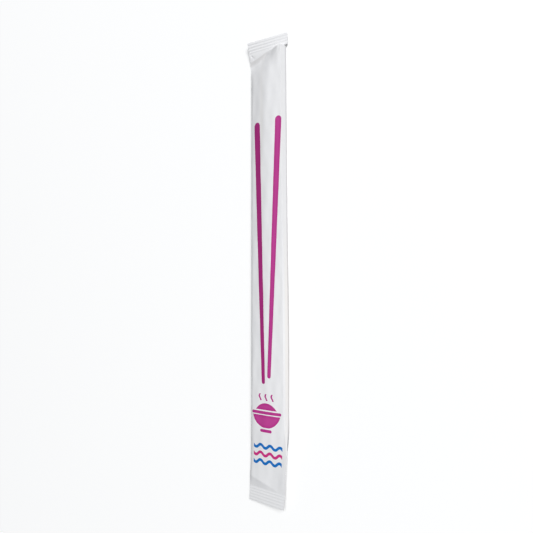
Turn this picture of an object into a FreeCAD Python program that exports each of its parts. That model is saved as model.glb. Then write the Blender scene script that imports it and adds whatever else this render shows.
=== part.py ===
"""A sealed paper sleeve with one pair of bamboo chopsticks inside, lying on its back, printed face up.

The sleeve is a paper tube, flow-wrapped round the sticks. A ribbed crimp closes each end, and a fin seam,
folded flat, runs down the back. The sticks can't be seen, so sleeve and sticks are one solid, whose skin is
the paper's outside. Sizes are in millimetres. X is across the sleeve, Y along it towards the butts of the
sticks, and Z up from the surface that it lies on, with the origin under its middle.
"""

import FreeCAD
import Part
import math
import os

# The wrapper
overall_length = 265.0
lay_flat_width = 26.5  # width of the flattened tube, and so of each end crimp
wall_fold = 0.3  # two layers of paper, at the side folds and in the crimps
fin_width = 9.0
fin_thickness = 0.3
fin_edge = 0.5  # the seam's own fold, across from the middle

# The crimps, flat ribbed bands that the sealing jaws have pressed
crimp_rib_pitch = 1.6
crimp_rib_depth = 0.2
top_crimp_ribs = 4
top_crimp_lift = 1.95  # height of its inner edge above the surface that the sleeve lies on
top_crimp_twist = 0.5  # degrees, the free side up
top_crimp_curl = 6.0  # degrees, up towards the cut
bottom_crimp_ribs = 5
bottom_crimp_lift = 2.3
bottom_crimp_twist = -7.7
bottom_crimp_curl = 10.0

# The pair of sticks, as it shows through the paper
butt_thickness = 5.0
tip_thickness = 4.2
butt_pair_width = 11.0
tip_pair_width = 10.6
butt_pair_side = 11.95  # across from the middle, where the pair lies against one side of the sleeve
tip_pair_side = 12.6

# How the paper lies round the pair
butt_free_fold_rise = 0.38  # height of the free fold, as a share of the thickness there
tip_free_fold_rise = 0.7
side_fold_rise = 0.35  # the same for the fold beside the pair
side_lean = 0.55  # how far the paper leans in above that fold
slack_bulge = 0.87  # how far slack paper stands off beside the pair
slack_place = -39.5  # along the sleeve from its middle
slack_reach = 52.0

# The shoulders, from each crimp to the full section. Their paper is flat as far as a slanting ridge, and
# changes slope there and again at a valley, from which it opens. Each row is (place across from the free
# fold, ridge, valley, opening, dip). Places are shares of the width, ridge and valley are distances from the
# crimp, opening is the share of the full section that is reached at the valley, and dip is how much lower
# than that the valley lies.
shoulder_length = 18.0
top_creases = [
    (0.0, 4.3, 7.2, 0.0, 1.1),
    (0.19, 3.4, 5.8, 0.0, 1.1),
    (0.32, 2.2, 4.7, 0.0, 1.0),
    (0.46, 0.9, 2.6, 0.0, 0.7),
    (0.61, 0.5, 1.4, 0.0, 0.2),
    (0.83, 0.4, 1.2, 0.5, 0.0),
    (1.0, 0.4, 2.4, 0.5, 0.0),
]
bottom_creases = [
    (0.0, 0.4, 5.1, 0.6, 0.0),
    (0.15, 0.4, 4.1, 0.55, 0.0),
    (0.34, 0.4, 3.1, 0.5, 0.0),
    (0.53, 0.4, 2.2, 0.5, 0.0),
    (0.75, 0.4, 1.0, 0.5, 0.0),
    (0.94, 0.4, 5.0, 0.5, 0.0),
    (1.0, 0.4, 6.0, 0.5, 0.0),
]
back_opening = 4.5  # from the crimp, where the back panel is down on the fin
back_tie = 4.0  # how far in from its folds the back panel still follows the front

top_end = {
    "way": 1,
    "ribs": top_crimp_ribs,
    "lift": top_crimp_lift,
    "twist": top_crimp_twist,
    "curl": top_crimp_curl,
    "creases": top_creases,
}
bottom_end = {
    "way": -1,
    "ribs": bottom_crimp_ribs,
    "lift": bottom_crimp_lift,
    "twist": bottom_crimp_twist,
    "curl": bottom_crimp_curl,
    "creases": bottom_creases,
}

half_length = overall_length / 2
half_width = lay_flat_width / 2
back_height = fin_thickness  # the back panel lies on the folded fin

# Where the skin has its poles, as shares of each straight stretch of a section, and along the body
front_shares = [(0.0, 0.25, 0.55, 0.88), (0.08, 0.4, 0.75, 0.96), (0.04, 0.35, 1.0)]
back_right_shares = (0.0, 0.25, 0.6, 1.0)
back_left_shares = (0.0, 0.4, 0.8, 0.93, 1.0)
body_stations = 7
half_open = (0.5, 0.75)  # halfway down a shoulder, how much of its opening is done
section_degree = 3
sewing_gap = 1e-4  # widest gap between two faces of the skin that is sewn shut


def between(a, b, share):
    """The value a share of the way from a to b."""
    return a + (b - a) * share


def distance(p, q):
    """Distance between two (x, z) points."""
    return math.hypot(q[0] - p[0], q[1] - p[1])


def along(outline, s):
    """The (x, z) point at a distance s along an outline of straight stretches."""
    for p, q in zip(outline, outline[1:]):
        run = distance(p, q)
        if s <= run or q is outline[-1]:
            return between(p[0], q[0], s / run), between(p[1], q[1], s / run)
        s -= run


def stops(outline, shares):
    """Distances along an outline: for each stretch, the shares of it where the skin has a pole."""
    found = []
    start = 0.0
    for (p, q), parts in zip(zip(outline, outline[1:]), shares):
        run = distance(p, q)
        found += [start + run * share for share in parts]
        start += run
    return found


def body_end(end):
    """Place along the sleeve where the shoulder of that end meets the full section."""
    return end["way"] * (half_length - end["ribs"] * crimp_rib_pitch - shoulder_length)


def front_outline(y):
    """The printed panel at a place along the sleeve, from the free fold over the pair to the other fold."""
    share = y / overall_length + 0.5
    top = back_height + between(tip_thickness, butt_thickness, share)
    pair = between(tip_pair_width, butt_pair_width, share)
    side = between(tip_pair_side, butt_pair_side, share)
    free_fold_z = top * between(tip_free_fold_rise, butt_free_fold_rise, share)
    bulge = slack_bulge * math.exp(-(((y - slack_place) / slack_reach) ** 2))
    side_fold = (side + bulge, top * side_fold_rise)
    right_edge = (side - side_lean, top)
    left_edge = (right_edge[0] - pair, top)
    flank = lay_flat_width - pair - distance(right_edge, side_fold)
    free_fold = (left_edge[0] - math.sqrt(flank**2 - (top - free_fold_z) ** 2), free_fold_z)
    return [free_fold, left_edge, right_edge, side_fold]


def back_outline(y):
    """The back panel, from the free fold down to the fin's level, under the pair and up to the other fold."""
    front = front_outline(y)
    free_fold, side_fold = front[0], front[-1]
    right_foot = (side_fold[0], back_height)
    span = right_foot[0] - free_fold[0]
    rise = free_fold[1] - back_height
    spare = lay_flat_width - distance(right_foot, side_fold) - span
    # the free stretch from the fold to the foot is as long as the paper that is left for it
    reach = (rise**2 - spare**2) / (2 * spare)
    left_foot = (free_fold[0] + reach, back_height)
    return [free_fold, left_foot, right_foot, side_fold]


def fin_stops(y):
    """Distances from the free fold, along the back panel, to the two long edges of the folded fin."""
    free_fold, left_foot = back_outline(y)[:2]
    seam = distance(free_fold, left_foot) + fin_edge - left_foot[0]
    return seam, seam + fin_width


def pole_stops(y):
    """Each strip of the skin, in order round the section, as a name and a list of (side, distance, level).

    Side is +1 on the front panel and -1 on the back. Level is how far a pole stands below the back panel.
    """
    front = stops(front_outline(y), front_shares)
    seam, hem = fin_stops(y)
    right = [between(lay_flat_width, hem, part) for part in back_right_shares]
    left = [between(seam, 0.0, part) for part in back_left_shares]
    thick = fin_thickness
    return [
        ("front", [(1, s, 0) for s in front]),
        ("side_fold", [(1, lay_flat_width, 0), (-1, lay_flat_width, 0)]),
        ("back_right", [(-1, s, 0) for s in right]),
        ("fin_hem", [(-1, hem, 0), (-1, hem, thick)]),
        ("fin_face", [(-1, hem, thick), (-1, seam, thick)]),
        ("fin_seam", [(-1, seam, thick), (-1, seam, 0)]),
        ("back_left", [(-1, s, 0) for s in left]),
        ("free_fold", [(-1, 0.0, 0), (1, 0.0, 0)]),
    ]


def from_folds(s):
    """Distance in from the nearer side fold."""
    return min(s, lay_flat_width - s)


def full_pole(y, side, s, level):
    """A pole of the skin where the sleeve is full, as (x, z)."""
    if side > 0:
        x, z = along(front_outline(y), s)
        return x, z + wall_fold / 2
    x, z = along(back_outline(y), s)
    # the two layers lie a fold apart at the side folds, and the back rests on the fin
    return x, z - wall_fold / 2 * max(0.0, 1 - from_folds(s) / fin_thickness) - level


def flat_pole(end, side, s, level, lift=0.0):
    """A pole of the skin where the tube is pressed flat, as (x, z), turned by the twist of that crimp."""
    x = s - half_width
    z = side * wall_fold / 2 - level
    turn = math.radians(end["twist"])
    height = end["lift"] + lift - x * math.sin(turn) + z * math.cos(turn)
    return x * math.cos(turn) + z * math.sin(turn), height


def crimp_rings(end):
    """Sections of one crimp from its inner edge to the cut, a zigzag of ribs pressed into both layers."""
    steps = 2 * end["ribs"]
    length = end["ribs"] * crimp_rib_pitch
    curl = math.tan(math.radians(end["curl"]))
    rings = []
    for step in range(steps + 1):
        out = step / steps * length
        rib = 0.0 if step in (0, steps) else crimp_rib_depth / 2 * (-1) ** step
        y = end["way"] * (half_length - length + out)
        ring = {}
        for name, poles in pole_stops(body_end(end)):
            placed = [flat_pole(end, *pole, out * curl + rib) for pole in poles]
            ring[name] = [FreeCAD.Vector(x, y, z) for x, z in placed]
        rings.append(ring)
    return rings


def crease_at(end, s):
    """Ridge, valley, opening and dip of a shoulder at a distance s across from the free fold."""
    place = s / lay_flat_width
    rows = end["creases"]
    for low, high in zip(rows, rows[1:]):
        if place <= high[0] or high is rows[-1]:
            part = (place - low[0]) / (high[0] - low[0])
            return [between(a, b, part) for a, b in zip(low[1:], high[1:])]


def shoulder_pole(end, row, side, s, level):
    """A pole of the skin in one row of a shoulder: crimp, ridge, valley, halfway on or full section."""
    ridge, valley, opening, dip = crease_at(end, s)
    way_on, done = half_open
    halfway = between(valley, shoulder_length, way_on)
    reach, opened, lower = {
        "crimp": (0.0, 0.0, 0.0),
        "ridge": (ridge, 0.0, 0.0),
        "valley": (valley, opening, dip),
        "halfway": (halfway, between(opening, 1, done), between(dip, 0, done)),
        "full": (shoulder_length, 1.0, 0.0),
    }[row]
    if side < 0:
        inward = min(1.0, from_folds(s) / back_tie)
        opened = max(opened, inward * min(1.0, reach / back_opening))
        lower *= 1 - inward
    flat = flat_pole(end, side, s, level)
    full = full_pole(body_end(end), side, s, level)
    y = end["way"] * (half_length - end["ribs"] * crimp_rib_pitch - reach)
    return FreeCAD.Vector(between(flat[0], full[0], opened), y, between(flat[1], full[1], opened) - lower)


def shoulder_rings(end, rows):
    """Sections of one shoulder, for the rows that are named."""
    rings = []
    for row in rows:
        ring = {}
        for name, poles in pole_stops(body_end(end)):
            ring[name] = [shoulder_pole(end, row, *pole) for pole in poles]
        rings.append(ring)
    return rings


def body_rings():
    """Sections between the two shoulders, where the sleeve follows the sticks' taper and its own slack."""
    start, finish = body_end(bottom_end), body_end(top_end)
    rings = []
    for station in range(body_stations):
        y = between(start, finish, station / (body_stations - 1))
        ring = {}
        for name, poles in pole_stops(y):
            placed = [full_pole(y, *pole) for pole in poles]
            ring[name] = [FreeCAD.Vector(x, y, z) for x, z in placed]
        rings.append(ring)
    return rings


def clamped_knots(poles, degree):
    """Knots from 0 to 1 and their multiplicities for a clamped spline with evenly spaced inner knots."""
    inner = poles - degree - 1
    knots = [step / (inner + 1) for step in range(inner + 2)]
    return knots, [degree + 1] + [1] * inner + [degree + 1]


def spline_face(rows, row_degree):
    """A face through a net of poles, of the degree given from row to row."""
    degree = min(section_degree, len(rows[0]) - 1)
    row_knots, row_mults = clamped_knots(len(rows), row_degree)
    knots, mults = clamped_knots(len(rows[0]), degree)
    surface = Part.BSplineSurface()
    surface.buildFromPolesMultsKnots(
        rows, row_mults, mults, row_knots, knots, False, False, row_degree, degree
    )
    return surface.toShape()


def flat_face(corners):
    """A flat face with the given corners."""
    return Part.Face(Part.makePolygon(corners + corners[:1]))


def smooth_skin(rings, row_degree):
    """Spline faces for each strip of the section, along a run of rings."""
    return [spline_face([ring[name] for ring in rings], row_degree) for name in rings[0]]


def ribbed_skin(rings):
    """Flat faces for each rib of a crimp, and its cut end."""
    faces = []
    for near, far in zip(rings, rings[1:]):
        for name in near:
            faces.append(flat_face([near[name][0], near[name][-1], far[name][-1], far[name][0]]))
    faces.append(flat_face([poles[0] for poles in rings[-1].values()]))
    return faces


def body_skin(rings):
    """The long middle of the skin. The fin's outer face is the one plane that the sleeve rests on."""
    first, last = rings[0]["fin_face"], rings[-1]["fin_face"]
    faces = [flat_face([first[0], first[-1], last[-1], last[0]])]
    for name in rings[0]:
        if name != "fin_face":
            faces.append(spline_face([ring[name] for ring in rings], 2))
    return faces


def chopstick_sleeve():
    """The whole skin, sewn shut and filled."""
    faces = body_skin(body_rings())
    for end in (top_end, bottom_end):
        faces += ribbed_skin(crimp_rings(end))
        faces += smooth_skin(shoulder_rings(end, ["crimp", "ridge"]), 1)
        faces += smooth_skin(shoulder_rings(end, ["ridge", "valley"]), 1)
        faces += smooth_skin(shoulder_rings(end, ["valley", "halfway", "full"]), 2)
    shell = Part.makeShell(faces)
    shell.sewShape(sewing_gap)
    solid = Part.makeSolid(shell)
    if solid.Volume < 0:
        solid.reverse()
    return solid


os.makedirs("parts", exist_ok=True)
sleeve = chopstick_sleeve()
print("valid", sleeve.isValid(), "volume", round(sleeve.Volume), sleeve.BoundBox)
sleeve.exportStep("parts/chopstick_sleeve.step")
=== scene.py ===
import math
from functools import reduce

import bmesh
import bpy
import numpy as np
from mathutils import Matrix, Vector


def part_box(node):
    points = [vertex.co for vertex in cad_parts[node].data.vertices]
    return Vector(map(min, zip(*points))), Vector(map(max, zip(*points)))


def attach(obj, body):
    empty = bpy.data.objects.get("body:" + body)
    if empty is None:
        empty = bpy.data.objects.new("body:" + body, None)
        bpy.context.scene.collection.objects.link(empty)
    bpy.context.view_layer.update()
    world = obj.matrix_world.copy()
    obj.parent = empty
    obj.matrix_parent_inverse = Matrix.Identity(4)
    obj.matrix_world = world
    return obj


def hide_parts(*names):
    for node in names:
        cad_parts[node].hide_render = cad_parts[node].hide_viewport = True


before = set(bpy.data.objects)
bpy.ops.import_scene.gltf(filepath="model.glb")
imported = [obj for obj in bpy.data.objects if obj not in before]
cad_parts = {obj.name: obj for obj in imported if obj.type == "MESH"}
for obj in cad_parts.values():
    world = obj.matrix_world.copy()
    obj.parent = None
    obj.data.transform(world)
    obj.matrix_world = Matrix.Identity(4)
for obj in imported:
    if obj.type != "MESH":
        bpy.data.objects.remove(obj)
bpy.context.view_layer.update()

# The sleeve is one sheet of white wrapping paper, formed into a tube round the two sticks. It lies on its
# back. The sticks have slid against its right-hand side, so the paper stands free on the left. Places are
# read across from the free fold, along a panel, and down from the cut edge by the butts of the sticks.
mm = 0.001
low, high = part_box("chopstick_sleeve")
length = high.y - low.y
panel = 26.5 * mm              # width of the flattened tube
ply = 0.09 * mm                # half the thickness of the flattened tube
back_height = 0.3 * mm         # the back panel lies on the folded fin
butt_thickness = 5.0 * mm
tip_thickness = 4.15 * mm
paper_play = 0.15 * mm         # paper and air over the sticks
free_fold_x = -11.25 * mm
butt_flank_slope = 15.5        # degrees, up from the free fold
tip_flank_slope = 1.0
flank_growth = 0.8             # the power by which that slope grows from the tips to the butts
plateau_slope = -1.0           # over the sticks, down to their right-hand side
crown_across = 12.2 * mm       # where the flank rounds into the plateau
crown_softness = 3.0 * mm
butt_fold = (45.0, 0.6 * mm)   # degrees more, right at the free fold, and how soon they fade
tip_fold = (68.0, 1.1 * mm)    # rounder there, because the tube stands open beside the thin tips
fold_growth = 0.5
edge_softness = 0.03 * mm
wall_lean = 11.0               # degrees from upright, of the wall at the sticks' right-hand side
slack_lean = 25.0              # the same where the sleeve has most slack
slack_down = 172.0 * mm
slack_length = 52.0 * mm
right_fold_rise = 0.4          # of the sleeve's height
tips_down = 212.0 * mm         # below the tips of the sticks the sleeve is empty,
empty_tilt = 5.5               # turns with its lower crimp
empty_spread = 1.35 * mm       # and flattens, which lets its free fold out
flatten_length = 30 * mm
flat_play = 0.05 * mm          # left over beside the wall where it is flat

rib_pitch = 1.6 * mm
top_ribs, bottom_ribs = 4, 5
top_crimp = top_ribs * rib_pitch
bottom_crimp = bottom_ribs * rib_pitch
rows_per_rib = 10
shoulder_length = 20.0 * mm
shoulder_rows = 66
body_rows = 140
stations = [  # from the top cut edge down, with the number of rows to each
    (0.0, 0),
    (top_crimp, top_ribs * rows_per_rib),
    (top_crimp + shoulder_length, shoulder_rows),
    (length - bottom_crimp - shoulder_length, body_rows),
    (length - bottom_crimp, shoulder_rows),
    (length, bottom_ribs * rows_per_rib),
]
down = [0.0]
for (start, _), (end, count) in zip(stations, stations[1:]):
    down.extend(np.linspace(start, end, count + 1)[1:])
down = np.array(down)
rows = len(down)
share = 1 - down / length      # 0 at the tips, 1 at the butts


def soft(x):
    """A soft step from 0 to 1 about x = 0."""
    return 0.5 * (1 + np.tanh(x))


def mix(a, b, part):
    """From a to b while the part goes from 0 to 1."""
    return a + (b - a) * part


def ease(x):
    """A smooth rise from 0 to 1 while x goes from 0 to 1."""
    x = np.clip(x, 0, 1)
    return x * x * (3 - 2 * x)


def rising(place, begin, stretch):
    """A smooth rise from 0 at one place to 1 a stretch further on."""
    return ease((place - begin) / stretch)


def follow(angles, step):
    """Points along a strip of paper, from its slope in degrees at each even step."""
    turn = np.radians(angles)
    x = np.cumsum(np.cos(turn), axis=1) * step
    z = np.cumsum(np.sin(turn), axis=1) * step
    return x - x[:, :1], z - z[:, :1]


fine_places = 531
fine = np.linspace(0, panel, fine_places)[None, :]
fine_step = fine[0, 1]
top = (back_height + mix(tip_thickness, butt_thickness, share) + paper_play)[:, None]
empty = rising(down, tips_down, length - bottom_crimp - tips_down)[:, None]
flattened = rising(down, tips_down, flatten_length)[:, None]
right_fold_z = top * mix(right_fold_rise, 1.0, flattened)
wall = top - right_fold_z + mix(paper_play, flat_play, flattened)
slack = np.exp(-((down - slack_down) / slack_length) ** 2)[:, None]
lean = mix(wall_lean, slack_lean, slack)
crown = soft((fine - crown_across) / crown_softness)
edge = soft((fine - (panel - wall)) / edge_softness)
flank_slope = mix(tip_flank_slope, butt_flank_slope, share ** flank_growth)[:, None]
thickening = share ** fold_growth
fold_steepness, fold_softness = [mix(a, b, thickening)[:, None] for a, b in zip(tip_fold, butt_fold)]
slope = mix(flank_slope, plateau_slope, crown) + fold_steepness * np.exp(-fine / fold_softness)
slope = slope + empty_tilt * empty
front_x, front_z = follow(mix(slope, lean - 90, edge), fine_step)
free_fold = free_fold_x - empty_spread * empty
front_x += free_fold
front_z += top - front_z.max(axis=1, keepdims=True)

# The back panel falls from the free fold to the fin, runs flat under the sticks and stands up to the other
# fold. Its free stretch is as long as the paper that is left for it. Below the tips, where the tube is empty,
# its other foot slants as well.
foot_share = 0.6               # of the spare paper, what the right-hand foot takes up there
longest_foot = 8 * mm          # across
least_spare = 0.45 * mm
most_spare = 0.9               # of the free fold's height
foot_softness = 0.8 * mm
corner_softness = 0.35 * mm
left_z = front_z[:, :1] - back_height
right_x, right_z = front_x[:, -1:], front_z[:, -1:]
foot_rise = right_z - back_height
spare_paper = panel - (right_x - free_fold)
foot_spare = mix(foot_rise, np.minimum(foot_share * spare_paper, foot_rise), empty)
foot_reach = np.minimum((foot_rise ** 2 - foot_spare ** 2) / (2 * foot_spare), longest_foot)
foot_wall = np.hypot(foot_rise, foot_reach)
foot_turn = np.degrees(np.arctan2(foot_rise, foot_reach))
spare = np.clip(spare_paper - foot_spare, least_spare, most_spare * left_z)
reach = (left_z ** 2 - spare ** 2) / (2 * spare)
free_stretch = np.hypot(left_z, reach)
fall = np.degrees(np.arctan2(left_z, reach))
slope = -fall * (1 - soft((fine - free_stretch) / foot_softness))
slope = slope + foot_turn * soft((fine - (panel - foot_wall)) / corner_softness)
back_x, back_z = follow(slope, fine_step)
back_x += free_fold
back_z += front_z[:, :1]
back_x += (right_x - back_x[:, -1:]) * fine / panel
middle_place = fine_places // 2
under = back_z[:, middle_place:middle_place + 1]
fallen = (front_z[:, :1] - back_z) * left_z / (front_z[:, :1] - under)
risen = (back_z - under) * foot_rise / (back_z[:, -1:] - under)
back_z = np.where(fine < panel / 2, front_z[:, :1] - fallen, back_height + risen)

# Round the section the skin runs over the front, down the right-hand fold, under the sticks to the root of
# the fin, out along the fin's inner face, round its hem, back along its outer face and up to the free fold.
fin_width = 9.0 * mm
fin_edge_x = 0.5 * mm
fin_plies = 0.17 * mm
fin_step = 1.3 * mm            # over which the back panel steps down onto the fin
front_columns, wall_columns = 84, 12
right_columns, hidden_columns, fin_columns, left_columns = 14, 10, 33, 50
seam = (free_stretch + fin_edge_x - free_fold - reach)[:, :1]
hem = seam + fin_width


def steps(start, end, count, first=1):
    """Distances across, for one stretch of the skin, in every row."""
    return mix(start, end, np.arange(first, count + 1)[None, :] / count)


zero = np.zeros((rows, 1))
stretches = [  # name, distances across
    ("front", steps(zero, panel - wall, front_columns, 0)),
    ("front", steps(panel - wall, zero + panel, wall_columns)),
    ("right", steps(zero + panel, hem, right_columns, 0)),
    ("hidden", steps(hem, seam, hidden_columns)),
    ("fin_in", steps(seam, hem, hidden_columns)),
    ("fin_out", steps(hem, seam, fin_columns, 0)),
    ("left", steps(seam, zero, left_columns)),
]
across = np.concatenate([s for name, s in stretches], axis=1)
name_of = np.concatenate([[name] * s.shape[1] for name, s in stretches])
is_front = (name_of == "front")[None, :]
columns = across.shape[1]

# Where the paper lies on the unfolded sheet, for its print and grain.
sheet = np.where(name_of == "front", across, -across)
sheet = np.where(np.isin(name_of, ["right", "hidden"]), 2 * panel - across, sheet)
sheet = np.where(name_of == "fin_in", 2 * panel - 2 * seam + across, sheet)

# The ends are pressed flat in the sealing jaws. Each crimp is a flat band, a little twisted and curled.
# Beside it the paper keeps flat as far as one slanting crease, changes slope there and again at a second
# crease, and then opens over the ends of the sticks. Twists and curls are in degrees and lengths in mm. A
# crease is given by its (across, distance from the crimp). The three shares say how far the paper has opened
# at the second crease: far by the free fold, near by the wall, and in the middle.
ends = {
    "top": dict(
        crimp=top_crimp, lift=1.95, root_twist=1.0, cut_twist=4.4, flat_twist=-2.8, curl=6.0,
        root_skew=0.5, cut_skew=0.1,
        first_crease=[(0, 4.3), (4.4, 3.5), (8.6, 2.2), (12, 0.9), (16, 0.3), (18, 0.2), (26.5, 0.1)],
        second_crease=[
            (0, 7.2), (5, 5.8), (8.3, 4.7), (12.3, 2.6), (16.1, 1.1), (18, 0.4), (22, 0.3), (26.5, 0.3),
        ],
        far_open=0.0, mid_open=0.3, near_open=1.0, opening=14.0,
    ),
    "bottom": dict(
        crimp=bottom_crimp, lift=2.9, root_twist=-7.6, cut_twist=-9.2, flat_twist=-7.6, curl=4.0,
        root_skew=-0.65, cut_skew=-0.9,
        first_crease=[(0, 0.3), (20.5, 0.1), (26.5, 0.0)],
        second_crease=[
            (0, 6.4), (4, 5.2), (9, 3.9), (14, 2.6), (17.8, 1.2), (20, 0.3), (24.8, 6.8), (26.5, 8.0),
        ],
        far_open=0.6, mid_open=0.5, near_open=0.5, opening=26.0,
    ),
}
twist_fade = 4.3 * mm          # past a crimp, until its own twist has given way to the flat paper's
crease_softness = 0.3 * mm
far_side = 7 * mm              # as far across as the free fold's share of opening is felt
near_side = (15.5 * mm, 6 * mm)           # across, where the wall's share begins, and its further growth
back_margin = 4 * mm           # beside the folds the back panel keeps with the front
back_opening = 2.6 * mm        # between them it falls clear of the front sooner
tuck_height = 0.5 * mm         # under the top crimp the free side is tucked down nearly to the table
tuck_fade = (10 * mm, 8 * mm)
swell, swell_fade = 0.8 * mm, (6 * mm, 13 * mm)             # above the lower crimp it bulges instead,
wall_swell, wall_swell_rise = 0.2 * mm, (20 * mm, 5 * mm)   # and so does the paper by the wall, a little


def crease(end, line):
    """A crease's distance from its crimp, at every column."""
    place, distance = np.array(ends[end][line]).T * mm
    return np.interp(across, place, distance)


def section(end, d):
    """How a section lies at distances d from a crimp: its twist, lift, skew, opening and sinking."""
    size = ends[end]
    out = np.clip(-d / size["crimp"], 0, 1)
    own_twist = mix(size["root_twist"], size["cut_twist"], out)
    twist = np.radians(mix(own_twist, size["flat_twist"], ease(d / twist_fade)))
    lift = size["lift"] * mm + math.tan(math.radians(size["curl"])) * np.clip(-d, 0, None)
    skew = mix(size["root_skew"], size["cut_skew"], out) * mm
    first, second = crease(end, "first_crease"), crease(end, "second_crease")
    beside_fold = 1 - ease(across / far_side)
    beside_wall = rising(across, *near_side)
    corner = mix(mix(size["mid_open"], size["far_open"], beside_fold), size["near_open"], beside_wall)
    slope = np.clip((d - first) / (second - first + crease_softness), 0, 1)
    # It leaves the second crease at a sharp angle and comes smoothly onto the open tube.
    opening = np.clip(ease((d - second) / (size["opening"] * mm) * 0.5 + 0.5) * 2 - 1, 0, 1)
    front = corner * slope + (1 - corner) * opening
    middle = ease(across / back_margin) * ease((panel - across) / back_margin)
    back = mix(front, np.maximum(front, ease(d / back_opening)), middle)
    if end == "top":
        flat = lift - (across - panel / 2) * np.sin(twist)
        sunk = (flat - tuck_height) * (1 - rising(across, *tuck_fade))
    else:
        sunk = -swell * (1 - rising(across, *swell_fade)) - wall_swell * rising(across, *wall_swell_rise)
    sunk = sunk * np.where(is_front, 1, 1 - middle)
    return twist, lift, skew, np.where(is_front, front, back), sunk * slope * (1 - opening)


half = length / 2
jaw_slant, slant_fade = 0.038, 12 * mm    # the upper jaws closed a little out of square
slanted = jaw_slant * (1 - rising(down, top_crimp, slant_fade))[:, None]
y = (half - down)[:, None] + slanted * (across - panel / 2)
at_top = (down < half)[:, None]
top_part = section("top", (down - top_crimp)[:, None])
bottom_part = section("bottom", (length - bottom_crimp - down)[:, None])
twist, lift, skew, opened, sunk = [np.where(at_top, a, b) for a, b in zip(top_part, bottom_part)]


def at(curve):
    """A body curve's values at each column's distance across."""
    place = across / fine_step
    i = np.clip(place.astype(int), 0, fine_places - 2)
    row = np.arange(rows)[:, None]
    return mix(curve[row, i], curve[row, i + 1], place - i)


# The fin hangs below the back panel, with a gap that closes in the crimps. Beside the folds the front and the
# back part by the thickness of the paper.
closed_gap = 0.01 * mm
fold_width = 0.6 * mm
open_gap = mix(closed_gap, back_height - fin_plies, opened)
below = np.zeros_like(across)
below = np.where(name_of == "fin_in", open_gap, below)
below = np.where(name_of == "fin_out", open_gap + fin_plies, below)
near_seam = np.clip(1 - (seam - across) / fin_step, 0, 1)
below = np.where(name_of == "left", (open_gap + fin_plies) * ease(near_seam), below)
body_x = np.where(is_front, at(front_x), at(back_x))
body_z = np.where(is_front, at(front_z), at(back_z)) - below
fold_gap = ply * np.clip(1 - np.minimum(across, panel - across) / fold_width, 0, 1)
body_z = body_z + np.where(is_front, fold_gap, -fold_gap)
flat_x = across - panel / 2
flat_z = np.where(is_front, ply, -ply - below)
turned_x = flat_x * np.cos(twist) + flat_z * np.sin(twist) + skew
turned_z = lift - flat_x * np.sin(twist) + flat_z * np.cos(twist)
x = mix(turned_x, body_x, opened)
z = mix(turned_z, body_z, opened) - sunk

# Handling has left the paper uneven: long shallow waves along it, and puckers that run down from the upper
# crimp, where the flat seal gathers the paper of the open tube.
wave_height = 0.035 * mm
wave_margin = 2 * mm           # beside the folds the paper is stiff
waves = [  # length along and across in millimetres, phase, share of the height
    (31.0, 11.0, 0.4, 1.0),
    (19.0, -7.3, 1.9, 0.7),
    (12.7, 17.0, 4.0, 0.45),
    (53.0, 6.1, 2.6, 0.9),
]
loose = ease(across / wave_margin) * ease((panel - wall - across) / wave_margin) * np.clip(opened, 0, 1)
drift = np.zeros_like(across)
for along, side, phase, part in waves:
    drift += part * np.sin(2 * math.pi * (down[:, None] / (along * mm) + across / (side * mm)) + phase)
z += np.where(is_front, wave_height * drift * loose, 0)

pucker_fade = 0.75             # of its depth, towards its far end
puckers = [  # from and to as (across, down), depth and half width, in millimetres
    ((18.9, 6.8), (17.9, 10.0), 0.12, 0.6),
    ((22.4, 7.0), (21.0, 11.0), 0.16, 0.6),
    ((21.4, 10.0), (18.4, 14.0), 0.14, 0.6),
    ((14.6, 10.8), (12.8, 13.4), 0.12, 0.6),
    ((1.4, 7.6), (3.2, 9.4), 0.34, 0.4),
    ((9.0, 14.0), (9.6, 60.0), 0.05, 1.4),
    ((24.6, 14.0), (24.5, 60.0), 0.02, 0.4),
]
for begin, finish, depth, width in puckers:
    ax, ay = np.array(begin) * mm
    dx, dy = np.array(finish) * mm - (ax, ay)
    part = ((across - ax) * dx + (down[:, None] - ay) * dy) / (dx ** 2 + dy ** 2)
    part = np.clip(part, 0, 1)
    off = np.hypot(across - ax - dx * part, down[:, None] - ay - dy * part)
    fade = 1 - pucker_fade * part
    z -= np.where(is_front, depth * mm * fade * np.exp(-off / (width * mm)), 0)

# The skin is closed at each cut edge by the thickness of the pressed paper.
points = np.stack([x, y, z], axis=2).reshape(-1, 3)
faces = []
for r in range(rows - 1):
    for c in range(columns):
        n = (c + 1) % columns
        faces.append((r * columns + c, r * columns + n, (r + 1) * columns + n, (r + 1) * columns + c))


def run(*names):
    """The columns of one or more stretches of the skin, in their order round it."""
    return list(np.flatnonzero(np.isin(name_of, names)))


def zip_edges(row, one, other):
    """Triangles between two runs of columns that both go the same way across, in one row."""
    i = j = 0
    found = []
    while i < len(one) - 1 or j < len(other) - 1:
        step_one = j == len(other) - 1
        if not step_one and i < len(one) - 1:
            step_one = across[row, one[i + 1]] <= across[row, other[j + 1]]
        a, b = one[i], other[j]
        if step_one:
            i += 1
            found.append((a, one[i], b))
        else:
            j += 1
            found.append((a, other[j], b))
    return [tuple(row * columns + c for c in face) for face in found]


right_run, fin_out_run = run("right", "hidden"), run("fin_out")
root, join = right_run[-1], fin_out_run[-1]
for row in (0, rows - 1):
    faces += zip_edges(row, run("front"), run("left")[::-1] + [join] + right_run[::-1])
    faces += zip_edges(row, [root] + run("fin_in"), fin_out_run[::-1])

paper_mesh = bpy.data.meshes.new("paper_sleeve")
paper_mesh.from_pydata(points.tolist(), [], faces)
sleeve = bpy.data.objects.new("paper_sleeve", paper_mesh)
bpy.context.scene.collection.objects.link(sleeve)

shell = bmesh.new()
shell.from_mesh(paper_mesh)
bmesh.ops.recalc_face_normals(shell, faces=shell.faces)
shell.to_mesh(paper_mesh)
shell.free()

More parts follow.
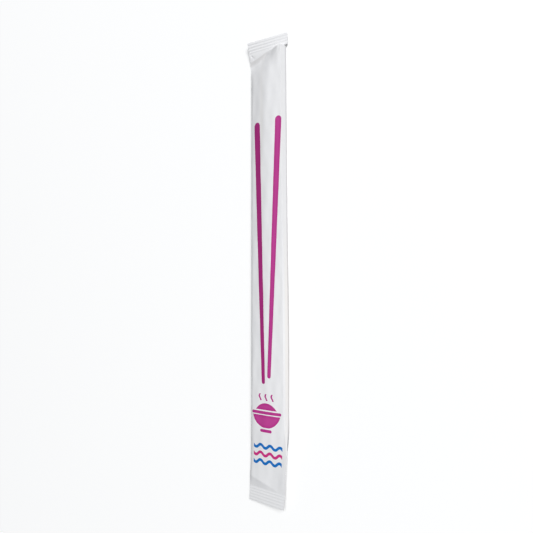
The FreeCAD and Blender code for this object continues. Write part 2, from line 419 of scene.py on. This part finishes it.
sheet_map = paper_mesh.uv_layers.new(name="sheet")
corner_vertex = np.zeros(len(paper_mesh.loops), int)
paper_mesh.loops.foreach_get("vertex_index", corner_vertex)
sheet_down = np.broadcast_to(down[:, None], sheet.shape)
places = np.stack([sheet, sheet_down], axis=2).reshape(-1, 2) / mm
sheet_map.data.foreach_set("uv", places[corner_vertex].ravel().astype(np.float32))

# The sealing jaws press a grid of fine ribs through all the plies of a crimp, and a pair of wheels presses
# lengthwise ribs into the outer face of the fin. How hard they press is kept on the sleeve's points.
lower_press = 0.65             # the lower jaws closed less hard
wheel_margin, wheel_fade = 1.2 * mm, 0.6 * mm      # the wheels leave the fin's hem free
wheel_start = 0.8 * mm
push = np.stack([np.sin(twist), np.zeros_like(twist), np.cos(twist)], axis=2)
press = np.where(at_top, (top_crimp - down)[:, None], (down - length + bottom_crimp)[:, None])
to_cut = np.where(at_top, down[:, None], (length - down)[:, None])
held = ease(press / (rib_pitch / 2)) * ease(to_cut / (rib_pitch / 4) + 0.3)
jaw_push = push * (held * np.where(at_top, 1.0, lower_press))[:, :, None]
rolled = (name_of == "fin_out")[None, :] * (1 - rising(across, hem - wheel_margin, wheel_fade))
rolled = rolled * ease((across - seam) / wheel_start) * (1 - held)


def keep_for_nodes(label, kind, values):
    """Stores a value for each point of the sleeve under a name that the nodes read."""
    layer = paper_mesh.attributes.new(label, kind, "POINT")
    key, shape = ("vector", (rows, columns, 3)) if kind == "FLOAT_VECTOR" else ("value", (rows, columns))
    layer.data.foreach_set(key, np.broadcast_to(values, shape).astype(np.float32).ravel())


keep_for_nodes("jaw_push", "FLOAT_VECTOR", jaw_push)
keep_for_nodes("jaw_across", "FLOAT", across)
keep_for_nodes("jaw_down", "FLOAT", press)
keep_for_nodes("wheel_across", "FLOAT", across - seam)
keep_for_nodes("wheel_push", "FLOAT", rolled)

# Little light reaches the tuck under the top crimp; the shader paints its shade, kept on the points.
shade_start, shade_end = 0.5 * mm, 2.6 * mm
shade_fade = (10 * mm, 9 * mm)
past_ridge = down[:, None] - top_crimp - crease("top", "first_crease")
past_valley = down[:, None] - top_crimp - crease("top", "second_crease")
shaded = ease(past_ridge / shade_start) * (1 - ease(past_valley / shade_end + 0.5))
shaded = shaded * is_front * (1 - rising(across, *shade_fade))
keep_for_nodes("tuck_painted_shade", "FLOAT", shaded)

jaw_sizes = {
    "Rib pitch": rib_pitch,
    "Rib depth": 0.17 * mm,
    "Bead pitch": 1.1 * mm,
    "Bead depth": 0.015 * mm,
    "Wheel rib pitch": fin_width / fin_columns * 4,
    "Wheel rib depth": 0.05 * mm,
}
jaws = bpy.data.node_groups.new("sealing_jaws", "GeometryNodeTree")
jaws.interface.new_socket("Geometry", in_out="INPUT", socket_type="NodeSocketGeometry")
for label in jaw_sizes:
    socket = jaws.interface.new_socket(label, in_out="INPUT", socket_type="NodeSocketFloat")
    socket.subtype = "DISTANCE"
jaws.interface.new_socket("Paper", in_out="INPUT", socket_type="NodeSocketMaterial")
jaws.interface.new_socket("Geometry", in_out="OUTPUT", socket_type="NodeSocketGeometry")
given = jaws.nodes.new("NodeGroupInput")
result = jaws.nodes.new("NodeGroupOutput")


def arithmetic(tree, kind, *values):
    """One step of arithmetic in a node tree, on its sockets and on plain numbers."""
    node = tree.nodes.new("ShaderNodeMath")
    node.operation = kind
    for slot, value in zip(node.inputs, values):
        if isinstance(value, (int, float)):
            slot.default_value = value
        else:
            tree.links.new(value, slot)
    return node.outputs[0]


def jaw_math(kind, *values):
    """The same in the jaws' tree."""
    return arithmetic(jaws, kind, *values)


def jaw_value(label, kind="FLOAT"):
    """A value that is kept on the sleeve's points."""
    node = jaws.nodes.new("GeometryNodeInputNamedAttribute")
    node.data_type = kind
    node.inputs["Name"].default_value = label
    return node.outputs["Attribute"]


def ridges(place, name):
    """A zigzag across a place, from minus half its depth to plus half."""
    turns = jaw_math("DIVIDE", place, given.outputs[name + " pitch"])
    zigzag = jaw_math("PINGPONG", jaw_math("MULTIPLY", turns, 2.0), 1.0)
    return jaw_math("MULTIPLY", jaw_math("SUBTRACT", zigzag, 0.5), given.outputs[name + " depth"])


pattern = jaw_math("ADD", ridges(jaw_value("jaw_down"), "Rib"), ridges(jaw_value("jaw_across"), "Bead"))
embossed = jaws.nodes.new("ShaderNodeVectorMath")
embossed.operation = "SCALE"
jaws.links.new(jaw_value("jaw_push", "FLOAT_VECTOR"), embossed.inputs[0])
jaws.links.new(pattern, embossed.inputs["Scale"])
wheel = ridges(jaw_value("wheel_across"), "Wheel rib")
wheel = jaw_math("ADD", wheel, jaw_math("MULTIPLY", given.outputs["Wheel rib depth"], 0.5))
upward = jaws.nodes.new("ShaderNodeCombineXYZ")
jaws.links.new(jaw_math("MULTIPLY", wheel, jaw_value("wheel_push")), upward.inputs["Z"])
both = jaws.nodes.new("ShaderNodeVectorMath")
both.operation = "ADD"
jaws.links.new(embossed.outputs[0], both.inputs[0])
jaws.links.new(upward.outputs[0], both.inputs[1])
pressed = jaws.nodes.new("GeometryNodeSetPosition")
jaws.links.new(given.outputs["Geometry"], pressed.inputs["Geometry"])
jaws.links.new(both.outputs[0], pressed.inputs["Offset"])
whole = jaws.nodes.new("GeometryNodeRealizeInstances")
jaws.links.new(pressed.outputs[0], whole.inputs[0])
finished = jaws.nodes.new("GeometryNodeSetMaterial")
jaws.links.new(whole.outputs[0], finished.inputs["Geometry"])
jaws.links.new(given.outputs["Paper"], finished.inputs["Material"])
jaws.links.new(finished.outputs[0], result.inputs[0])

# The paper is smooth and satin, with a faint cloudy formation. The print has three inks: magenta for the two
# long tapered sticks and the heaped bowl under them, and blue and pink for the waves below. It is laid out in
# millimetres on the sheet: u across from the free fold, and v down from the top cut edge.
paper = bpy.data.materials.new("printed_paper")
paper.use_nodes = True
nodes, links = paper.node_tree.nodes, paper.node_tree.links
nodes.clear()
output = nodes.new("ShaderNodeOutputMaterial")
surface = nodes.new("ShaderNodeBsdfPrincipled")
links.new(surface.outputs[0], output.inputs["Surface"])
sheet_place = nodes.new("ShaderNodeUVMap")
sheet_place.uv_map = "sheet"
split = nodes.new("ShaderNodeSeparateXYZ")
links.new(sheet_place.outputs[0], split.inputs[0])
u, v = split.outputs["X"], split.outputs["Y"]


def calc(kind, *values):
    """One step of arithmetic in the paper's shader."""
    return arithmetic(paper.node_tree, kind, *values)


def hypot(a, b):
    """The length of a step with two square parts."""
    return calc("SQRT", calc("ADD", calc("MULTIPLY", a, a), calc("MULTIPLY", b, b)))


def beyond(value, middle, reach):
    """How far a value lies further than a reach from a middle."""
    return calc("SUBTRACT", calc("ABSOLUTE", calc("SUBTRACT", value, middle)), reach)


def bar(begin, end, begin_width, end_width):
    """How far a place lies outside a round-ended bar."""
    (ax, ay), (bx, by) = begin, end
    dx, dy = bx - ax, by - ay
    square = dx * dx + dy * dy
    px, py = calc("SUBTRACT", u, ax), calc("SUBTRACT", v, ay)
    part = calc("ADD", calc("MULTIPLY", px, dx / square), calc("MULTIPLY", py, dy / square))
    part = calc("MINIMUM", calc("MAXIMUM", part, 0.0), 1.0)
    off_u = calc("SUBTRACT", px, calc("MULTIPLY", part, dx))
    off_v = calc("SUBTRACT", py, calc("MULTIPLY", part, dy))
    radius = calc("ADD", calc("MULTIPLY", part, (end_width - begin_width) / 2), begin_width / 2)
    return calc("SUBTRACT", hypot(off_u, off_v), radius)


def level_bar(centre_u, centre_v, half_length, width):
    """The same for a bar of one width that lies straight across the sheet."""
    begin, end = (centre_u - half_length, centre_v), (centre_u + half_length, centre_v)
    return bar(begin, end, width, width)


def disc(centre_u, centre_v, radius):
    """How far a place lies outside a disc."""
    return calc("SUBTRACT", hypot(calc("SUBTRACT", u, centre_u), calc("SUBTRACT", v, centre_v)), radius)


def joined(*shapes):
    """The places in any of the shapes."""
    return reduce(lambda one, other: calc("MINIMUM", one, other), shapes)


def common(*shapes):
    """The places in all of the shapes."""
    return reduce(lambda one, other: calc("MAXIMUM", one, other), shapes)


def inked(shape, edge=0.05):
    """1 inside a shape and 0 outside it, over an edge as sharp as print on paper."""
    node = nodes.new("ShaderNodeMapRange")
    node.interpolation_type = "SMOOTHSTEP"
    links.new(shape, node.inputs["Value"])
    node.inputs["From Min"].default_value = edge
    node.inputs["From Max"].default_value = -edge
    return node.outputs[0]


left_stick = bar((5.5, 50.6), (9.8, 196.3), 4.7, 2.4)
right_stick = bar((21.2, 48.9), (13.8, 192.9), 4.2, 2.4)
printed_sticks = joined(left_stick, right_stick)

bowl_u, rim_v = 11.6, 213.6
bowl_radius, bowl_gap, bowl_base_v = 10.0, 1.4, 222.0
heap_radius, heap_depth, heap_gap = 8.8, 3.4, 1.6
line_width = 1.7
under_rim = calc("SUBTRACT", rim_v + bowl_gap, v)
over_base = calc("SUBTRACT", v, bowl_base_v)
bowl = common(disc(bowl_u, rim_v - bowl_gap, bowl_radius), under_rim, over_base)
rim = level_bar(bowl_u, rim_v, 9.4, line_width)
foot = level_bar(bowl_u, 223.7, 3.2, line_width)
over_rim = calc("SUBTRACT", v, rim_v - heap_gap)
heap = common(disc(bowl_u, rim_v + heap_depth, heap_radius), over_rim)

# Steam rises from the heap in three short curls, the middle one above its top and one to each side.
steam_v, steam_half_height, steam_half_width, steam_spacing = 204.9, 1.9, 0.55, 4.2
curl_start, curl_period, curl_swing = 203.0, 5.0, 0.55
curl_phase = calc("MULTIPLY", calc("SUBTRACT", v, curl_start), 2 * math.pi / curl_period)
curled_u = calc("ADD", u, calc("MULTIPLY", calc("SINE", curl_phase), curl_swing))
from_middle = calc("ABSOLUTE", calc("SUBTRACT", curled_u, bowl_u))
from_side = calc("ABSOLUTE", calc("SUBTRACT", from_middle, steam_spacing))
from_curl = calc("SUBTRACT", calc("MINIMUM", from_middle, from_side), steam_half_width)
steam = common(beyond(v, steam_v, steam_half_height), from_curl)
magenta_shapes = joined(printed_sticks, bowl, rim, foot, heap, steam)

wave_swing, wave_period, wave_width = 0.9, 6.8, 1.6
wave_left, wave_right = 2.9, 23.3


def ripple(middle):
    """A printed wave at one height of the sheet."""
    phase = calc("MULTIPLY", calc("SUBTRACT", u, wave_left), 2 * math.pi / wave_period)
    lean = calc("MULTIPLY", calc("COSINE", phase), wave_swing * 2 * math.pi / wave_period)
    steep = calc("SQRT", calc("ADD", calc("MULTIPLY", lean, lean), 1.0))
    swung = calc("MULTIPLY", calc("SINE", phase), wave_swing)
    off = calc("ABSOLUTE", calc("SUBTRACT", calc("SUBTRACT", v, middle), swung))
    line = calc("SUBTRACT", calc("DIVIDE", off, steep), wave_width / 2)
    return common(line, beyond(u, (wave_left + wave_right) / 2, (wave_right - wave_left) / 2))


blue_shapes = joined(ripple(232.6), ripple(241.4))
pink_shapes = ripple(237.0)


def tint(factor, below, above):
    """Lays one colour over another."""
    node = nodes.new("ShaderNodeMix")
    node.data_type = "RGBA"
    for label, value in (("Factor", factor), ("A", below), ("B", above)):
        if isinstance(value, tuple):
            node.inputs[label].default_value = value + (1.0,)
        else:
            links.new(value, node.inputs[label])
    return node.outputs["Result"]


def speckle(scale, detail):
    """Noise on the sheet, with its scale in cycles per millimetre."""
    noise = nodes.new("ShaderNodeTexNoise")
    links.new(sheet_place.outputs[0], noise.inputs["Vector"])
    noise.inputs["Scale"].default_value = scale
    noise.inputs["Detail"].default_value = detail
    return noise.outputs[0]


def band(value, low_edge, high_edge, edge):
    """1 between two values, with soft edges."""
    return inked(beyond(value, (low_edge + high_edge) / 2, (high_edge - low_edge) / 2), edge)


paper_white = (0.80, 0.80, 0.815)
paper_cloud = (0.84, 0.84, 0.85)
bamboo_glow = (0.80, 0.765, 0.72)
tuck_painted_shade_colour = (0.60, 0.585, 0.58)
magenta_ink = (0.47, 0.036, 0.25)
magenta_light = (0.56, 0.09, 0.34)
magenta_painted_shade = (0.35, 0.018, 0.17)
blue_ink = (0.005, 0.16, 0.52)
pink_ink = (0.60, 0.03, 0.22)

# Where a stick lies close under the paper, its warm colour shows through a little. Wide areas of magenta are
# lighter in the middle. The left-hand stick is darkened as painted shade, for the shaded flank it lies on.
glows = [  # from, to and edge, across and down the sheet, and strength
    ((8.4, 10.2, 1.6), (20.0, 78.0, 40.0), 0.35),
    ((24.6, 28.0, 0.7), (120.0, 222.0, 30.0), 0.5),
]
light_inset, light_edge, light_strength = 1.2, 0.9, 0.35
left_stick_shade_edge, left_stick_shade_strength = 0.3, 0.85
tuck_painted_shade_strength = 0.5
colour = tint(speckle(0.35, 4.0), paper_white, paper_cloud)
for side, along, strength in glows:
    near_stick = calc("MULTIPLY", band(u, *side), band(v, *along))
    colour = tint(calc("MULTIPLY", near_stick, strength), colour, bamboo_glow)
inner = inked(calc("ADD", magenta_shapes, light_inset), light_edge)
magenta = tint(calc("MULTIPLY", inner, light_strength), magenta_ink, magenta_light)
# Painted shade: the left-hand stick's ink is darkened for the shaded flank it lies across.
magenta = tint(calc("MULTIPLY", inked(left_stick, left_stick_shade_edge), left_stick_shade_strength), magenta, magenta_painted_shade)
for shapes, ink in ((magenta_shapes, magenta), (blue_shapes, blue_ink), (pink_shapes, pink_ink)):
    colour = tint(inked(shapes), colour, ink)
# Painted shade: the paper's colour is greyed in the tuck under the top crimp, where little light reaches.
tuck = nodes.new("ShaderNodeAttribute")
tuck.attribute_name = "tuck_painted_shade"
colour = tint(calc("MULTIPLY", tuck.outputs["Fac"], tuck_painted_shade_strength), colour, tuck_painted_shade_colour)
links.new(colour, surface.inputs["Base Color"])

least_roughness, roughness_swing, ink_gloss = 0.5, 0.12, 0.1
roughness = calc("ADD", calc("MULTIPLY", speckle(1.1, 3.0), roughness_swing), least_roughness)
any_ink = inked(joined(magenta_shapes, blue_shapes, pink_shapes))
roughness = calc("SUBTRACT", roughness, calc("MULTIPLY", any_ink, ink_gloss))
links.new(roughness, surface.inputs["Roughness"])
surface.inputs["Specular IOR Level"].default_value = 0.4
grain_bump = nodes.new("ShaderNodeBump")
grain_bump.inputs["Strength"].default_value = 0.25
grain_bump.inputs["Distance"].default_value = 0.03 * mm
links.new(speckle(3.2, 5.0), grain_bump.inputs["Height"])
links.new(grain_bump.outputs[0], surface.inputs["Normal"])

# The sleeve goes through the jaws' tree, which presses the ribs and lays on the paper, and becomes a plain
# mesh again. Edges that turn more than the paper's soft bends do are shaded sharp.
sharp_turn = math.radians(50.0)
press_mark = sleeve.modifiers.new("sealing_jaws", "NODES")
press_mark.node_group = jaws
identifiers = {item.name: item.identifier for item in jaws.interface.items_tree if item.in_out == "INPUT"}
for label, value in jaw_sizes.items():
    press_mark[identifiers[label]] = value
press_mark[identifiers["Paper"]] = paper
paper_mesh.materials.append(paper)
evaluated = sleeve.evaluated_get(bpy.context.evaluated_depsgraph_get())
sealed = bpy.data.meshes.new_from_object(evaluated)
sleeve.modifiers.clear()
sleeve.data = sealed
sealed.name = "paper_sleeve"
sealed.shade_smooth()
sealed.set_sharp_from_angle(angle=sharp_turn)

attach(sleeve, "root")
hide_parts("chopstick_sleeve")

# A plain pale floor under the sleeve. Seen by the camera it is white, and it keeps the sleeve's soft shadow.
# What lights the sleeve from below is the grey of a table.
floor_half = 2.0
floor_seen_white = (1.0, 1.0, 1.0, 1)
floor_grey = (0.36, 0.36, 0.36, 1)
floor_glow_strength = 1.08
floor_glow_share = 0.12        # of the white that the camera sees, the part that no shadow darkens
floor_mesh = bpy.data.meshes.new("floor")
quarters = [(-1, -1), (1, -1), (1, 1), (-1, 1)]
floor_corners = [(side * floor_half, end * floor_half, 0) for side, end in quarters]
floor_mesh.from_pydata(floor_corners, [], [(0, 1, 2, 3)])
floor = bpy.data.objects.new("floor", floor_mesh)
bpy.context.scene.collection.objects.link(floor)
floor_white = bpy.data.materials.new("floor_white")
floor_white.use_nodes = True
floor_nodes, floor_links = floor_white.node_tree.nodes, floor_white.node_tree.links
floor_nodes.clear()
floor_output = floor_nodes.new("ShaderNodeOutputMaterial")
floor_diffuse = floor_nodes.new("ShaderNodeBsdfDiffuse")
floor_glow = floor_nodes.new("ShaderNodeEmission")
floor_glow.inputs["Strength"].default_value = floor_glow_strength
floor_seen = floor_nodes.new("ShaderNodeLightPath")
floor_mix = floor_nodes.new("ShaderNodeMixShader")
floor_part = floor_nodes.new("ShaderNodeMath")
floor_part.operation = "MULTIPLY"
floor_part.inputs[1].default_value = floor_glow_share
floor_tone = floor_nodes.new("ShaderNodeMix")
floor_tone.data_type = "RGBA"
floor_tone.inputs["A"].default_value = floor_grey
floor_tone.inputs["B"].default_value = floor_seen_white
floor_links.new(floor_seen.outputs["Is Camera Ray"], floor_tone.inputs["Factor"])
floor_links.new(floor_tone.outputs["Result"], floor_diffuse.inputs["Color"])
floor_links.new(floor_seen.outputs["Is Camera Ray"], floor_part.inputs[0])
floor_links.new(floor_part.outputs[0], floor_mix.inputs["Fac"])
floor_links.new(floor_diffuse.outputs[0], floor_mix.inputs[1])
floor_links.new(floor_glow.outputs[0], floor_mix.inputs[2])
floor_links.new(floor_mix.outputs[0], floor_output.inputs["Surface"])
floor_mesh.materials.append(floor_white)

# The camera looks down on the sleeve from its right-hand side, close enough that the far side looks smaller.
scene = bpy.context.scene
view_side = math.radians(35.0)
view_down = math.radians(1.7)
view_distance = 0.348
view_roll = math.radians(-0.2)
aim = Vector((-0.0008, 0.0013, 0.0025))
camera_data = bpy.data.cameras.new("camera")
camera_data.lens = 41.3
camera_data.sensor_width = 36.0
camera = bpy.data.objects.new("camera", camera_data)
camera.rotation_euler = (view_down, view_side, 0.0)
camera.location = aim + camera.rotation_euler.to_matrix() @ Vector((0.0, 0.0, view_distance))
rolled_view = camera.rotation_euler.to_matrix() @ Matrix.Rotation(view_roll, 3, "Z")
camera.rotation_euler = rolled_view.to_euler()
scene.collection.objects.link(camera)
scene.camera = camera

# One large soft lamp stands on the right, so that the free flank on the left falls into shade. A faint blue
# sky fills it in.
lamp_data = bpy.data.lights.new("soft_lamp", "AREA")
lamp_data.shape = "RECTANGLE"
lamp_data.size = 3.2
lamp_data.size_y = 4.8
lamp_data.energy = 776.0
lamp = bpy.data.objects.new("soft_lamp", lamp_data)
lamp_distance = 8.0
lamp_side, lamp_up = math.radians(36.0), math.radians(18.0)
lamp.location = (
    lamp_distance * math.sin(lamp_side) * math.cos(lamp_up),
    lamp_distance * math.sin(lamp_up),
    lamp_distance * math.cos(lamp_side) * math.cos(lamp_up),
)
lamp.rotation_mode = "QUATERNION"
lamp.rotation_quaternion = (-Vector(lamp.location)).to_track_quat("-Z", "Y")
scene.collection.objects.link(lamp)

world = bpy.data.worlds.new("studio")
world.use_nodes = True
sky = world.node_tree.nodes["Background"]
sky.inputs["Color"].default_value = (0.86, 0.93, 1.0, 1)
sky.inputs["Strength"].default_value = 0.12
scene.world = world

scene.view_settings.view_transform = "Standard"
